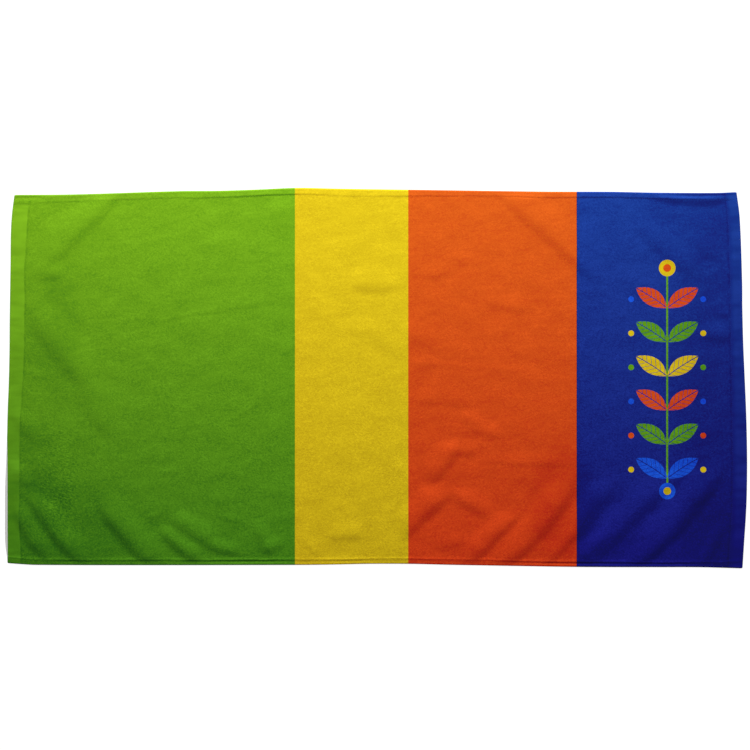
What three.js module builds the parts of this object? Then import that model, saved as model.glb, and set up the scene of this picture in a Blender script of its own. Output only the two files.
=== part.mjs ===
// A printed sports towel laid out on a flat surface, face up. Its long side runs along X,
// its short side along Y, and it is one piece of cloth with its four hems turned and sewn.
// Lengths are in millimetres.
import * as THREE from 'three';

// The cloth as cut and hemmed, before it is laid down
const LENGTH = 1500;
const WIDTH = 770;
const CLOTH = 2.6;

// The hems from the rim inward. Each row is one line of the section: how far in it lies
// on the end hems and on the side hems, and how high the cloth's face is there.
const HEM_LINES = [
  { end: 0, side: 0, top: 1.6 },
  { end: 2.5, side: 2, top: 3 },
  { end: 24, side: 8, top: 3 },
  { end: 26, side: 9.5, top: 2 },
];
const FIELD_INSET = { end: 28, side: 14 };

// Each edge as it lies: how far it bows outward at points along it
const TOP_EDGE = [
  { at: -750, out: -8.7 },
  { at: -655, out: -8.4 },
  { at: -573, out: -6.6 },
  { at: -408, out: -1.2 },
  { at: -326, out: -0.6 },
  { at: -244, out: 2 },
  { at: -162, out: 5.4 },
  { at: -80, out: 3.8 },
  { at: 48, out: 1.9 },
  { at: 336, out: -2.3 },
  { at: 495, out: -2.9 },
  { at: 580, out: -4.5 },
  { at: 707, out: -5 },
  { at: 750, out: -3.3 },
];
const BOTTOM_EDGE = [
  { at: -750, out: -3.8 },
  { at: -690, out: -0.4 },
  { at: -160, out: -0.3 },
  { at: -80, out: -1.3 },
  { at: -6, out: -2.7 },
  { at: 76, out: -2.4 },
  { at: 159, out: -0.4 },
  { at: 254, out: 1.2 },
  { at: 420, out: 3.8 },
  { at: 570, out: 4.2 },
  { at: 665, out: 4.4 },
  { at: 750, out: 6.9 },
];
const LEFT_EDGE = [
  { at: -385, out: 10.2 },
  { at: -342, out: 14.8 },
  { at: -260, out: 15 },
  { at: -211, out: 13.7 },
  { at: -162, out: 11.9 },
  { at: -120, out: 10.8 },
  { at: -67, out: 9.6 },
  { at: -5, out: 7.3 },
  { at: 56, out: 6 },
  { at: 118, out: 5.6 },
  { at: 241, out: 3.8 },
  { at: 303, out: 3.2 },
  { at: 345, out: 0.8 },
  { at: 385, out: -4.2 },
];
const RIGHT_EDGE = [
  { at: -385, out: 0.3 },
  { at: -345, out: 2.8 },
  { at: -262, out: 8.1 },
  { at: -190, out: 9.8 },
  { at: -120, out: 9.3 },
  { at: -57, out: 7.5 },
  { at: 25, out: 3.9 },
  { at: 80, out: 1.6 },
  { at: 150, out: -0.1 },
  { at: 200, out: -0.5 },
  { at: 330, out: -5.3 },
  { at: 385, out: -12 },
];

// The rumples, a row for each. The crest runs from (x0, y0) to (x1, y1), its middle moved
// to the left by bow. Its flanks reach left and right, and it stands height high.
const FOLDS = [
  { x0: -522, y0: 402, x1: -690, y1: 232, bow: 0, left: 28, right: 60, height: 3.3 },
  { x0: -708, y0: 219, x1: -638, y1: 222, bow: 0, left: 30, right: 20, height: 1.6 },
  { x0: -706, y0: 154, x1: -584, y1: -12, bow: 0, left: 56, right: 38, height: 3.9 },
  { x0: -612, y0: 6, x1: -520, y1: -128, bow: 0, left: 52, right: 36, height: 2.3 },
  { x0: -736, y0: -72, x1: -688, y1: -122, bow: 0, left: 30, right: 24, height: 2.2 },
  { x0: -746, y0: -168, x1: -708, y1: -216, bow: 0, left: 28, right: 20, height: 2 },
  { x0: -731, y0: -262, x1: -670, y1: -370, bow: -6, left: 34, right: 20, height: 4.2 },
  { x0: -708, y0: -243, x1: -598, y1: -382, bow: 0, left: 42, right: 22, height: 4.4 },
  { x0: -566, y0: -244, x1: -448, y1: -386, bow: -5, left: 52, right: 26, height: 5.6 },
  { x0: -438, y0: -311, x1: -350, y1: -384, bow: 0, left: 28, right: 20, height: 4 },
  { x0: -420, y0: -285, x1: -322, y1: -345, bow: 0, left: 34, right: 24, height: 3.2 },
  { x0: -348, y0: -345, x1: -272, y1: -359, bow: 0, left: 24, right: 14, height: 2.4 },
  { x0: -247, y0: -294, x1: -209, y1: -370, bow: 0, left: 24, right: 18, height: 2.4 },
  { x0: -228, y0: -353, x1: -184, y1: -339, bow: 0, left: 20, right: 12, height: 1.2 },
  { x0: -50, y0: 189, x1: 42, y1: 191, bow: 0, left: 46, right: 24, height: 2 },
  { x0: -102, y0: -323, x1: -24, y1: -326, bow: 0, left: 36, right: 18, height: 1.8 },
  { x0: -54, y0: 108, x1: 62, y1: 44, bow: 4, left: 40, right: 30, height: 1 },
  { x0: 40, y0: 115, x1: 150, y1: 46, bow: 0, left: 36, right: 26, height: 1.1 },
  { x0: 96, y0: 204, x1: 168, y1: 224, bow: 0, left: 22, right: 12, height: 0.6 },
  { x0: 156, y0: 247, x1: 228, y1: 232, bow: 0, left: 22, right: 13, height: 0.6 },
  { x0: 247, y0: 394, x1: 458, y1: 205, bow: 4, left: 60, right: 26, height: 2.8 },
  { x0: 212, y0: 161, x1: 326, y1: 142, bow: -3, left: 26, right: 14, height: 0.8 },
  { x0: 62, y0: -41, x1: 200, y1: -57, bow: 2, left: 30, right: 15, height: 0.8 },
  { x0: 166, y0: -84, x1: 214, y1: -92, bow: 0, left: 22, right: 14, height: 0.9 },
  { x0: 186, y0: -103, x1: 258, y1: -118, bow: 0, left: 28, right: 17, height: 1.4 },
  { x0: 106, y0: -216, x1: 158, y1: -136, bow: 0, left: 40, right: 22, height: 3 },
  { x0: 140, y0: -149, x1: 200, y1: -152, bow: 0, left: 30, right: 16, height: 1.6 },
  { x0: 46, y0: -336, x1: 152, y1: -230, bow: 8, left: 44, right: 24, height: 3.4 },
  { x0: 148, y0: -233, x1: 240, y1: -285, bow: 0, left: 30, right: 20, height: 1.8 },
  { x0: 120, y0: -347, x1: 192, y1: -331, bow: 0, left: 28, right: 16, height: 1.1 },
  { x0: 202, y0: -171, x1: 426, y1: -176, bow: 2, left: 24, right: 11, height: 0.8 },
  { x0: 180, y0: -388, x1: 290, y1: -276, bow: 4, left: 36, right: 20, height: 3.2 },
  { x0: 252, y0: -388, x1: 400, y1: -196, bow: -13, left: 50, right: 26, height: 4.6 },
  { x0: 346, y0: -384, x1: 414, y1: -300, bow: 0, left: 28, right: 15, height: 2.2 },
  { x0: 390, y0: -336, x1: 480, y1: -200, bow: 6, left: 36, right: 34, height: 3.5 },
  { x0: 408, y0: -376, x1: 474, y1: -306, bow: 0, left: 22, right: 19, height: 2.2 },
  { x0: 418, y0: -390, x1: 612, y1: -190, bow: 8, left: 46, right: 28, height: 4.6 },
  { x0: 522, y0: -388, x1: 702, y1: -172, bow: -4, left: 52, right: 32, height: 7 },
  { x0: 668, y0: -384, x1: 704, y1: -288, bow: 0, left: 22, right: 16, height: 2.2 },
  { x0: 538, y0: 320, x1: 654, y1: 218, bow: 0, left: 50, right: 26, height: 2.6 },
  { x0: 636, y0: 300, x1: 712, y1: 244, bow: 0, left: 34, right: 20, height: 1.2 },
  { x0: 656, y0: 99, x1: 728, y1: 92, bow: 0, left: 30, right: 20, height: 1.8 },
  { x0: 572, y0: 379, x1: 734, y1: 374, bow: 0, left: 14, right: 22, height: 3.8 },
  { x0: -228, y0: 339, x1: -160, y1: 337, bow: 0, left: 32, right: 55, height: 1.5 },
];

// A rumple dies out over this share of its crest, which starts this share before each end
const FADE = 0.42;
const OVERRUN = 0.1;
// At its ends a rumple is this share as wide
const NARROW_END = 0.55;
// Towards the hems the cloth comes down to this share of its lift at the rim
const RIM_SHARE = 0.2;
const RIM_REACH = 18;

// The field between the hems is laid out on a grid of right-angled triangles in two square
// tiles, halved where the cloth curves by more than the tolerance.
const TILE = 64;
const TILES = 2;
const CELLS = { x: TILE * TILES, y: TILE };
const TOLERANCE = 0.4;
const RIM_STEP = 2;

const clamp01 = (value) => Math.min(1, Math.max(0, value));
const lerp = (from, to, share) => from + (to - from) * share;
const smooth = (share) => share * share * (3 - 2 * share);

// Slope of a table of points at one of its rows, from the rows on both sides
function slopeAt(rows, i) {
  const before = rows[Math.max(0, i - 1)];
  const after = rows[Math.min(rows.length - 1, i + 1)];
  return (after.out - before.out) / (after.at - before.at);
}

// How far an edge bows outward at a place along it, on a smooth curve through its points
function bowAt(rows, place) {
  const at = Math.min(rows.at(-1).at, Math.max(rows[0].at, place));
  const last = Math.max(1, rows.findIndex((row) => row.at >= at));
  const [p, q] = [rows[last - 1], rows[last]];
  const span = q.at - p.at;
  const t = (at - p.at) / span;
  const rise = smooth(t);
  const start = t * (1 - t) * (1 - t) * span * slopeAt(rows, last - 1);
  const end = t * t * (t - 1) * span * slopeAt(rows, last);
  return lerp(p.out, q.out, rise) + start + end;
}

// Place of a point of the flat cloth once the towel is laid down
function laidPlace(x, y) {
  const acrossLength = x / LENGTH + 0.5;
  const acrossWidth = y / WIDTH + 0.5;
  return {
    x: x + lerp(-bowAt(LEFT_EDGE, y), bowAt(RIGHT_EDGE, y), acrossLength),
    y: y + lerp(-bowAt(BOTTOM_EDGE, x), bowAt(TOP_EDGE, x), acrossWidth),
  };
}

// Height of one rumple over a point
function foldLift(fold, x, y) {
  const run = { x: fold.x1 - fold.x0, y: fold.y1 - fold.y0 };
  const length = Math.hypot(run.x, run.y);
  const along = ((x - fold.x0) * run.x + (y - fold.y0) * run.y) / (length * length);
  const crest = fold.bow * 4 * along * (1 - along);
  const aside = ((y - fold.y0) * run.x - (x - fold.x0) * run.y) / length - crest;
  const before = smooth(clamp01((along + OVERRUN) / FADE));
  const after = smooth(clamp01((1 + OVERRUN - along) / FADE));
  const ends = before * after;
  const reach = (aside > 0 ? fold.left : fold.right) * lerp(NARROW_END, 1, ends);
  const near = clamp01(1 - (aside / reach) ** 2);
  return fold.height * near * near * ends;
}

// How far the cloth stands off the surface below it
function liftAt(x, y) {
  const fromRim = Math.min(LENGTH / 2 - Math.abs(x), WIDTH / 2 - Math.abs(y));
  const share = lerp(RIM_SHARE, 1, smooth(clamp01(fromRim / RIM_REACH)));
  return share * FOLDS.reduce((sum, fold) => sum + foldLift(fold, x, y), 0);
}

// Flat place of a grid point, on the field or on a hem line around it
function flatPlace(column, row, inset) {
  return {
    x: (LENGTH / 2 - inset.end) * ((2 * column) / CELLS.x - 1),
    y: (WIDTH / 2 - inset.side) * ((2 * row) / CELLS.y - 1),
  };
}

const gridKey = (point) => `${point[0]},${point[1]}`;
const middle = (a, b) => [(a[0] + b[0]) / 2, (a[1] + b[1]) / 2];
const onRim = (a, b) =>
  (a[0] === b[0] && (a[0] === 0 || a[0] === CELLS.x)) ||
  (a[1] === b[1] && (a[1] === 0 || a[1] === CELLS.y));

// The two large triangles of each tile, each as its long side's ends and its corner
function largeTriangles() {
  const triangles = [];
  for (let tile = 0; tile < TILES; tile += 1) {
    const [from, to] = [tile * TILE, (tile + 1) * TILE];
    triangles.push([[from, 0], [to, TILE], [to, 0]]);
    triangles.push([[to, TILE], [from, 0], [from, TILE]]);
  }
  return triangles;
}

const halves = ([a, b, corner]) => {
  const mid = middle(a, b);
  return [
    [corner, a, mid],
    [b, corner, mid],
  ];
};

// All triangles of the grid by size, the largest first, down to half a cell
function trianglesBySize() {
  const sizes = [largeTriangles()];
  const isWhole = ([a, b]) => middle(a, b).every(Number.isInteger);
  while (sizes.at(-1).every(isWhole)) sizes.push(sizes.at(-1).flatMap(halves));
  return sizes;
}

// For each middle of a long side, how badly the field fits if that side stays whole. A
// side takes the worst of its halves, so that triangles which share one agree on it.
function misfits() {
  const lifts = new Map();
  const liftOf = (point) => {
    const key = gridKey(point);
    if (!lifts.has(key)) {
      const place = flatPlace(point[0], point[1], FIELD_INSET);
      lifts.set(key, liftAt(place.x, place.y));
    }
    return lifts.get(key);
  };
  const worst = new Map();
  const sizes = trianglesBySize().slice(0, -1).reverse();
  for (const triangle of sizes.flat()) {
    const [a, b] = triangle;
    const mid = middle(a, b);
    const long = Math.abs(a[0] - b[0]) + Math.abs(a[1] - b[1]) > RIM_STEP;
    const own = Math.abs(liftOf(mid) - (liftOf(a) + liftOf(b)) / 2);
    const below = halves(triangle).map(([c, d]) => worst.get(gridKey(middle(c, d))) ?? 0);
    const known = worst.get(gridKey(mid)) ?? 0;
    const forced = onRim(a, b) && long ? Infinity : 0;
    worst.set(gridKey(mid), Math.max(own, known, forced, ...below));
  }
  return worst;
}

// The field's triangles, small where it is rumpled and large where it is flat
function fieldTriangles() {
  const worst = misfits();
  const kept = [];
  const open = largeTriangles();
  while (open.length > 0) {
    const triangle = open.pop();
    const misfit = worst.get(gridKey(middle(triangle[0], triangle[1]))) ?? 0;
    if (misfit > TOLERANCE) open.push(...halves(triangle));
    else kept.push(triangle);
  }
  return kept;
}

// Grid points on the field's rim, in turn around it against the clock
function rimPoints(triangles) {
  const used = new Map(triangles.flat().map((point) => [gridKey(point), point]));
  const around = ([column, row]) => {
    if (row === 0) return column;
    if (column === CELLS.x) return CELLS.x + row;
    if (row === CELLS.y) return CELLS.x + CELLS.y + (CELLS.x - column);
    return 2 * CELLS.x + CELLS.y + (CELLS.y - row);
  };
  return [...used.values()]
    .filter(([column, row]) => column % CELLS.x === 0 || row % CELLS.y === 0)
    .sort((a, b) => around(a) - around(b));
}

// The closed skin of the cloth: its face, its back and the rim between them
function clothGeometry() {
  const positions = [];
  const faces = [];
  const addPoint = (grid, inset, thickness) => {
    const flat = flatPlace(grid[0], grid[1], inset);
    const laid = laidPlace(flat.x, flat.y);
    positions.push(laid.x, laid.y, liftAt(flat.x, flat.y) + thickness);
    return positions.length / 3 - 1;
  };

  const triangles = fieldTriangles();
  const points = [...new Map(triangles.flat().map((p) => [gridKey(p), p])).values()];
  const layer = (thickness) =>
    new Map(points.map((p) => [gridKey(p), addPoint(p, FIELD_INSET, thickness)]));
  const face = layer(CLOTH);
  const back = layer(0);
  for (const [a, b, corner] of triangles) {
    const keys = [a, b, corner].map(gridKey);
    const turn = (b[0] - a[0]) * (corner[1] - a[1]) - (b[1] - a[1]) * (corner[0] - a[0]);
    const upward = turn > 0 ? keys : keys.toReversed();
    faces.push(upward.map((key) => face.get(key)));
    faces.push(upward.toReversed().map((key) => back.get(key)));
  }

  // Loops of points from the face's field over the hem and the rim to the back's field
  const rim = rimPoints(triangles);
  const loops = [
    rim.map((p) => face.get(gridKey(p))),
    ...HEM_LINES.toReversed().map((line) => rim.map((p) => addPoint(p, line, line.top))),
    rim.map((p) => addPoint(p, HEM_LINES[0], 0)),
    rim.map((p) => back.get(gridKey(p))),
  ];
  for (let ring = 0; ring + 1 < loops.length; ring += 1) {
    const [inner, outer] = [loops[ring], loops[ring + 1]];
    for (let i = 0; i < rim.length; i += 1) {
      const next = (i + 1) % rim.length;
      faces.push([inner[i], outer[i], outer[next]]);
      faces.push([inner[i], outer[next], inner[next]]);
    }
  }

  const geometry = new THREE.BufferGeometry();
  geometry.setAttribute('position', new THREE.Float32BufferAttribute(positions, 3));
  geometry.setIndex(faces.flat());
  geometry.computeBoundingBox();
  const box = geometry.boundingBox;
  geometry.translate(-(box.min.x + box.max.x) / 2, -(box.min.y + box.max.y) / 2, -box.min.z);
  geometry.computeVertexNormals();
  return geometry;
}

// Printed cotton terry, cut short on its face
const printedTerry = new THREE.MeshStandardMaterial({
  color: 0x5f9c1c,
  roughness: 0.95,
  metalness: 0,
});

const towel = new THREE.Mesh(clothGeometry(), printedTerry);
towel.name = 'towel';

const part = new THREE.Group();
part.add(towel);

export default part;
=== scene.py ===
import bpy
import numpy as np
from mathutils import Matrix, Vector, noise


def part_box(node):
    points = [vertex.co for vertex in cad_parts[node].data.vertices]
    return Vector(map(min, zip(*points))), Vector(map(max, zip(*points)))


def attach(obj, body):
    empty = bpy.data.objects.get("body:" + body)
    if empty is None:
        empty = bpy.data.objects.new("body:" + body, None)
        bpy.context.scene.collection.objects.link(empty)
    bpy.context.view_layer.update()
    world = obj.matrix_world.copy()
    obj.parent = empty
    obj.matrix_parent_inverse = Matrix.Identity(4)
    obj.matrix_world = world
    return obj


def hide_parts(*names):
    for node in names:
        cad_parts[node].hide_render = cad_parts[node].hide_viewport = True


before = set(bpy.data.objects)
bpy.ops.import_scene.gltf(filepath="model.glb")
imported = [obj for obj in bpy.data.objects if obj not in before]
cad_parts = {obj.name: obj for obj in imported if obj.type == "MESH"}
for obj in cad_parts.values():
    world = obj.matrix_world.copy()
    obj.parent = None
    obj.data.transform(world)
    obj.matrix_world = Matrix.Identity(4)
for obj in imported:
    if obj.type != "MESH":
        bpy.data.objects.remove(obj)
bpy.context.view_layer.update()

MM = 0.001

# The cloth as cut and hemmed, before it is laid down, in millimetres like the tables below.
# X runs along the towel, Y across it, and both start at its middle.
LENGTH, WIDTH = 1500.0, 770.0
CORNER_ROUNDING, RIM_ROUNDING = 3.0, 1.1

# The face between the hems is laid out in cells of this size, the back in twice that
CELL = 4.15

# The hems are worked out on an even pattern, as deep all round as these tables say, and then
# moved to where their seams lie. Lines of the pattern along the rims, by depth:
END_LINES = (0.4, 1.0, 2.0, 4.5, 9.0, 14.0, 20.0, 24.0, 25.0, 26.0, 27.0, 29.0, 32.0)
SIDE_LINES = (
    0.4, 1.0, 1.8, 2.8, 4.2, 5.6, 6.8, 7.6, 8.4, 9.3, 10.3, 11.5, 12.9, 14.6, 16.5,
)

# Height of the face above the back, by depth from the rim: the rounded rim, the turned hem,
# the groove that its stitches pull down, the edge of the turned cloth, and the pile
FAR_HEM = (
    (0.0, 1.3), (0.4, 2.6), (1.0, 2.92), (1.8, 2.98), (2.8, 3.0), (4.2, 3.06), (5.6, 3.14),
    (6.8, 3.2), (7.6, 3.02), (8.4, 2.8), (9.3, 2.68), (10.3, 2.63), (12.9, 2.6),
)
NEAR_HEM = (
    (0.0, 1.3), (0.4, 2.4), (1.0, 2.62), (1.8, 2.66), (2.8, 2.66), (4.2, 2.68), (5.6, 2.74),
    (6.8, 2.8), (7.6, 2.86), (8.4, 2.96), (9.3, 3.08), (10.3, 3.1), (11.5, 2.89),
    (12.9, 2.63), (14.6, 2.44), (16.5, 2.4), (24.0, 2.5), (32.0, 2.6),
)
# The groove of the near side's stitches, taken from the height where they are pulled tight
NEAR_DIP = (
    (2.8, 0.0), (4.2, 0.26), (5.6, 0.58), (6.8, 0.5), (7.6, 0.27), (8.4, 0.09), (9.3, 0.0),
)
END_HEM = (
    (0.0, 1.3), (0.4, 2.0), (1.0, 2.35), (2.0, 2.5), (6.0, 2.55), (20.0, 2.55), (24.0, 2.45),
    (25.0, 2.2), (26.0, 2.15), (27.0, 2.4), (29.0, 2.65), (34.0, 2.6),
)
PILE = 2.6
# The face's height at its very rim, and below it two rings of the rim: how far past the
# face's edge each stands, and how high
RIM_HEIGHT = 1.5
UPPER_RING, LOWER_RING = (0.55, 1.15), (0.6, 0.5)
# The turned hems stand this much below the back of the cloth between them. They end at
# these depths, and the step up from them is this wide.
HEM_ON_BACK = 0.4
TURNED_SIDE, TURNED_END, TURNED_STEP = 14.0, 28.0, 2.0

# Where forms of the face start or stop: the depth from the rim where each is absent, and
# the one where it is full. The side hems pass over the left end hem and under the right
# one, and of their own form only a share shows there.
LEFT_END_SHOWS, RIGHT_END_SHOWS = (5.0, 15.0), (0.0, 4.0)
SIDE_HEM_FREE, SIDE_OVER_LEFT, SIDE_OVER_RIGHT = (20.0, 28.0), 0.9, 0.25
PILE_STARTS = (0.0, 12.0)
PUCKERS_START, PUCKERS_STOP = (0.0, 3.0), (22.0, 10.0)
WRINKLES_START, WRINKLES_STOP = (0.0, 3.0), (28.0, 24.0)
# How high and how long the pile's waves, the puckers along the side seams and the wrinkles
# of the end hems are. Puckers are this many times narrower across the towel, and wrinkles
# are this many times longer along it.
PILE_RISE, PILE_LENGTH = 0.15, 14.0
PUCKER_RISE, PUCKER_LENGTH, PUCKER_NARROWER = 0.2, 8.0, 3.0
SHORT_RISE, SHORT_LENGTH = 0.36, 9.0
LONG_RISE, LONG_LENGTH = 0.3, 24.0
WRINKLE_LONGER = 4.0

# Depth of each seam's groove in the tables above, and of the stitches at its foot
FAR_GROOVE, NEAR_GROOVE, END_GROOVE = 7.8, 7.8, 26.3
FAR_STITCHES, NEAR_STITCHES, END_STITCHES = 9.0, 6.1, 25.5
# How deep each seam really lies, at points along it
FAR_SEAM = (
    (-750, 20.5), (-700, 17.6), (-650, 16.0), (-590, 14.6), (-508, 13.8), (-415, 15.0),
    (-323, 14.4), (-240, 13.4), (-137, 13.8), (-55, 15.0), (27, 14.6), (110, 12.6),
    (192, 11.4), (274, 10.4), (357, 12.6), (460, 11.6), (542, 12.0), (625, 14.0), (750, 14.2),
)
NEAR_SEAM = (
    (-750, 11.5), (-690, 9.6), (-620, 9.2), (-550, 9.0), (-467, 10.0), (-364, 9.0),
    (-260, 9.6), (-137, 9.6), (-55, 8.4), (27, 9.2), (110, 9.2), (192, 10.2), (274, 9.0),
    (357, 8.8), (460, 9.2), (542, 8.4), (625, 8.2), (697, 9.4), (750, 12.0),
)
LEFT_SEAM = (
    (-385, 27.0), (-355, 26.6), (-293, 23.6), (-232, 24.4), (-160, 24.8), (-88, 26.1),
    (-5, 28.7), (77, 30.2), (159, 30.6), (231, 28.8), (282, 31.8), (323, 33.2), (385, 33.4),
)
RIGHT_SEAM = (
    (-385, 29.6), (-160, 30.0), (-90, 30.0), (0, 27.8), (80, 25.4), (230, 25.4), (385, 24.6),
)
# How much the far hem stands off the pile and how tight the near one is sewn, along x
FAR_PRESS = (
    (-750, 0.4), (-650, 0.55), (-590, 0.65), (-500, 0.7), (-410, 0.95), (-322, 1.4),
    (-240, 2.3), (-160, 1.7), (-60, 0.8), (60, 1.1), (160, 0.9), (260, 0.7), (340, 1.1),
    (460, 1.8), (541, 1.5), (623, 1.5), (695, 1.1), (750, 1.0),
)
NEAR_PRESS = (
    (-750, 0.0), (-733, 0.0), (-682, 0.1), (-620, 1.0), (-548, 0.7), (-466, 0.5),
    (-363, 0.9), (-260, 2.3), (-137, 0.6), (-55, 1.2), (27, 0.2), (109, 0.45), (191, 0.0),
    (274, 0.45), (356, 1.8), (459, 1.8), (541, 1.4), (623, 1.5), (695, 0.1), (750, 0.0),
)
# The seams wander by this much, over stretches of this length
SEAM_WOBBLE, SEAM_WOBBLE_LENGTH = 0.8, 30.0
# Further in than its seam, a hem's move fades out over this much
SEAM_PULL = 30.0

# How far each edge bows outward as it lies, at points along it
TOP_EDGE = (
    (-750, -8.7), (-655, -8.4), (-573, -6.6), (-408, -1.2), (-326, -0.6), (-244, 2.0),
    (-162, 5.4), (-80, 3.8), (48, 1.9), (336, -2.3), (495, -2.9), (580, -4.5), (707, -5.0),
    (750, -3.3),
)
BOTTOM_EDGE = (
    (-750, -3.8), (-690, -0.4), (-160, -0.3), (-80, -1.3), (-6, -2.7), (76, -2.4),
    (159, -0.4), (254, 1.2), (420, 3.8), (570, 4.2), (665, 4.4), (750, 6.9),
)
LEFT_EDGE = (
    (-385, 9.8), (-180, 10.2), (-120, 10.6), (-67, 9.6), (-5, 7.3), (56, 6.0), (118, 5.6),
    (241, 3.8), (303, 3.2), (345, 0.8), (385, -4.2),
)
RIGHT_EDGE = (
    (-385, 0.3), (-345, 2.8), (-262, 8.1), (-190, 9.8), (-120, 9.3), (-57, 7.5), (25, 3.9),
    (80, 1.6), (150, -0.1), (200, -0.5), (330, -5.3), (385, -12.0),
)

# The rumples, in columns x0, y0, x1, y1, bow, left, right, height. The crest runs from
# (x0, y0) to (x1, y1), its middle moved to the left by bow. Its flanks reach left and right.
FOLDS = (
    (-522, 402, -690, 232, 0, 28, 60, 3.3),
    (-708, 219, -638, 222, 0, 30, 20, 1.6),
    (-706, 154, -584, -12, 0, 56, 38, 3.9),
    (-612, 6, -520, -128, 0, 52, 36, 2.3),
    (-736, -72, -688, -122, 0, 30, 24, 2.2),
    (-736, -180, -706, -222, 0, 26, 20, 1.6),
    (-731, -262, -670, -370, -6, 34, 20, 4.2),
    (-708, -243, -598, -382, 0, 42, 22, 4.9),
    (-566, -244, -448, -386, -5, 52, 26, 5.6),
    (-438, -311, -350, -384, 0, 28, 20, 4.0),
    (-420, -285, -322, -345, 0, 34, 24, 3.2),
    (-348, -345, -272, -359, 0, 24, 14, 2.4),
    (-247, -294, -209, -370, 0, 24, 18, 2.4),
    (-228, -353, -184, -339, 0, 20, 12, 1.2),
    (-50, 189, 42, 191, 0, 46, 24, 2.0),
    (-102, -323, -24, -326, 0, 36, 18, 1.8),
    (-54, 108, 62, 44, 4, 40, 30, 1.0),
    (40, 115, 150, 46, 0, 36, 26, 1.1),
    (96, 204, 168, 224, 0, 22, 12, 0.6),
    (156, 247, 228, 232, 0, 22, 13, 0.6),
    (247, 394, 458, 205, 4, 60, 26, 2.8),
    (212, 161, 326, 142, -3, 26, 14, 0.8),
    (62, -41, 200, -57, 2, 30, 15, 0.8),
    (166, -84, 214, -92, 0, 22, 14, 0.9),
    (186, -103, 258, -118, 0, 28, 17, 1.4),
    (106, -216, 158, -136, 0, 40, 22, 3.4),
    (140, -149, 200, -152, 0, 30, 16, 1.6),
    (46, -336, 152, -230, 8, 44, 24, 3.9),
    (148, -233, 240, -285, 0, 30, 20, 2.1),
    (120, -347, 192, -331, 0, 28, 16, 1.1),
    (202, -171, 426, -176, 2, 24, 11, 0.8),
    (180, -388, 290, -276, 4, 36, 20, 3.6),
    (252, -388, 400, -196, -13, 50, 26, 5.0),
    (346, -384, 414, -300, 0, 28, 15, 2.2),
    (390, -336, 480, -200, 6, 36, 34, 3.5),
    (408, -376, 474, -306, 0, 22, 19, 2.2),
    (418, -390, 612, -190, 8, 46, 28, 4.4),
    (522, -388, 702, -172, -4, 52, 31, 6.5),
    (668, -384, 704, -288, 0, 22, 16, 2.2),
    (538, 320, 654, 218, 0, 50, 26, 2.6),
    (636, 300, 712, 244, 0, 34, 20, 1.2),
    (656, 99, 728, 92, 0, 30, 20, 1.8),
    (572, 379, 734, 374, 0, 14, 22, 3.8),
    (-228, 339, -160, 337, 0, 32, 55, 1.5),
)
# Fine creases, in the same columns: a furrow has a height below zero
CREASES = (
    (590, 378.5, 738, 378.5, 0, 5.0, 4.0, -3.4),
    (-756, 379, -690, 379, 0, 5.0, 4.0, -2.2),
    (-518, 104, -168, 163, 3, 9, 6, 0.35),
    (-470, -40, -360, -72, 0, 10, 7, 0.35),
    (-300, -92, -238, -48, 0, 14, 9, 0.5),
    (60, 27, 200, 24, 0, 10, 8, 0.4),
    (180, 23, 330, 14, 0, 10, 8, 0.3),
    (690, 140, 728, 138, 0, 8, 6, 0.7),
    (-716, 12, -684, 8, 0, 16, 12, 0.8),
    (-448, -196, -396, -190, 0, 12, 9, 0.6),
    (-468, -286, -432, -276, 0, 14, 10, 0.7),
    (-318, -288, -276, -296, 0, 14, 9, 0.7),
    (-150, -326, -118, -368, 0, 14, 8, 0.7),
)
# A rumple dies out over this share of its crest, which starts this share before each end
FADE, OVERRUN = 0.42, 0.1
# At its ends a rumple is this share as wide
NARROW_END = 0.55
# Within this reach of the rim the cloth comes down, at the rim to this share of its lift
RIM_SHARE, RIM_REACH = 0.2, 18.0
# The crests wander by this much, over stretches of this length, and their height wavers
WANDER, WANDER_LENGTH = 3.0, 70.0
WAVER, WAVER_LENGTH = 0.22, 50.0
# Between the rumples the cloth stands off by up to this much, in hills of this contrast
RUFFLE, RUFFLE_LENGTH, RUFFLE_CONTRAST = 0.8, 42.0, 0.8
# The layers of noise lie this far apart
LAYER_GAP = 17.3

# Along the lower part of the left edge the unprinted back shows past the printed face, by
# this much at points along it
BACK_PAST_FACE = (
    (-390, 0.0), (-375, 1.3), (-359, 3.2), (-342, 4.8), (-326, 5.3), (-260, 5.3), (-228, 4.9),
    (-195, 3.6), (-162, 2.0), (-130, 0.6), (-105, 0.0),
)

# Where the printed blocks end, from the green one on, and how far the two dyes of that
# border overlap to each side of it. An overlap fades out over this much to each side of its edge.
BLOCK_ENDS = ((-166.6, 0.0), (66.2, 0.0), (412.3, 0.4))
OVERLAP_EDGE = 0.1
# The blocks' printed colours at the far side, and at the near side darker by painted shade,
# and the places on Y between which the one turns into the other
BLOCK_COLOURS_AND_SHADE = {
    "green": ((0.198, 0.447, 0.0100), (0.080, 0.284, 0.0088)),
    "yellow": ((0.815, 0.600, 0.0100), (0.790, 0.560, 0.0090)),
    "orange": ((0.768, 0.118, 0.0090), (0.755, 0.057, 0.0085)),
    "blue": ((0.0102, 0.047, 0.324), (0.0095, 0.0092, 0.232)),
}
PAINTED_SHADE_TOP, PAINTED_SHADE_BOTTOM = 345.0, -345.0
# No part of the print is deeper than this
DEEPEST = (0.0078, 0.0080, 0.0085)
# The print fades out over this much to each side of a form's edge
PRINT_EDGE = 0.5

# The leaf sprig printed along the blue block: a stem, a pair of leaves in each row up it,
# a berry past each leaf, and a bud at both ends
SPRIG_X, SPRIG_LOW, LEAF_PITCH = 598.0, -212.0, 70.0
STEM_WIDTH = 4.0
LEAF_LENGTH, LEAF_WIDTH, LEAF_RISE = 76.0, 34.0, 0.66
LEAF_BASE, LEAF_BEND = 6.0, 7.0
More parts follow.
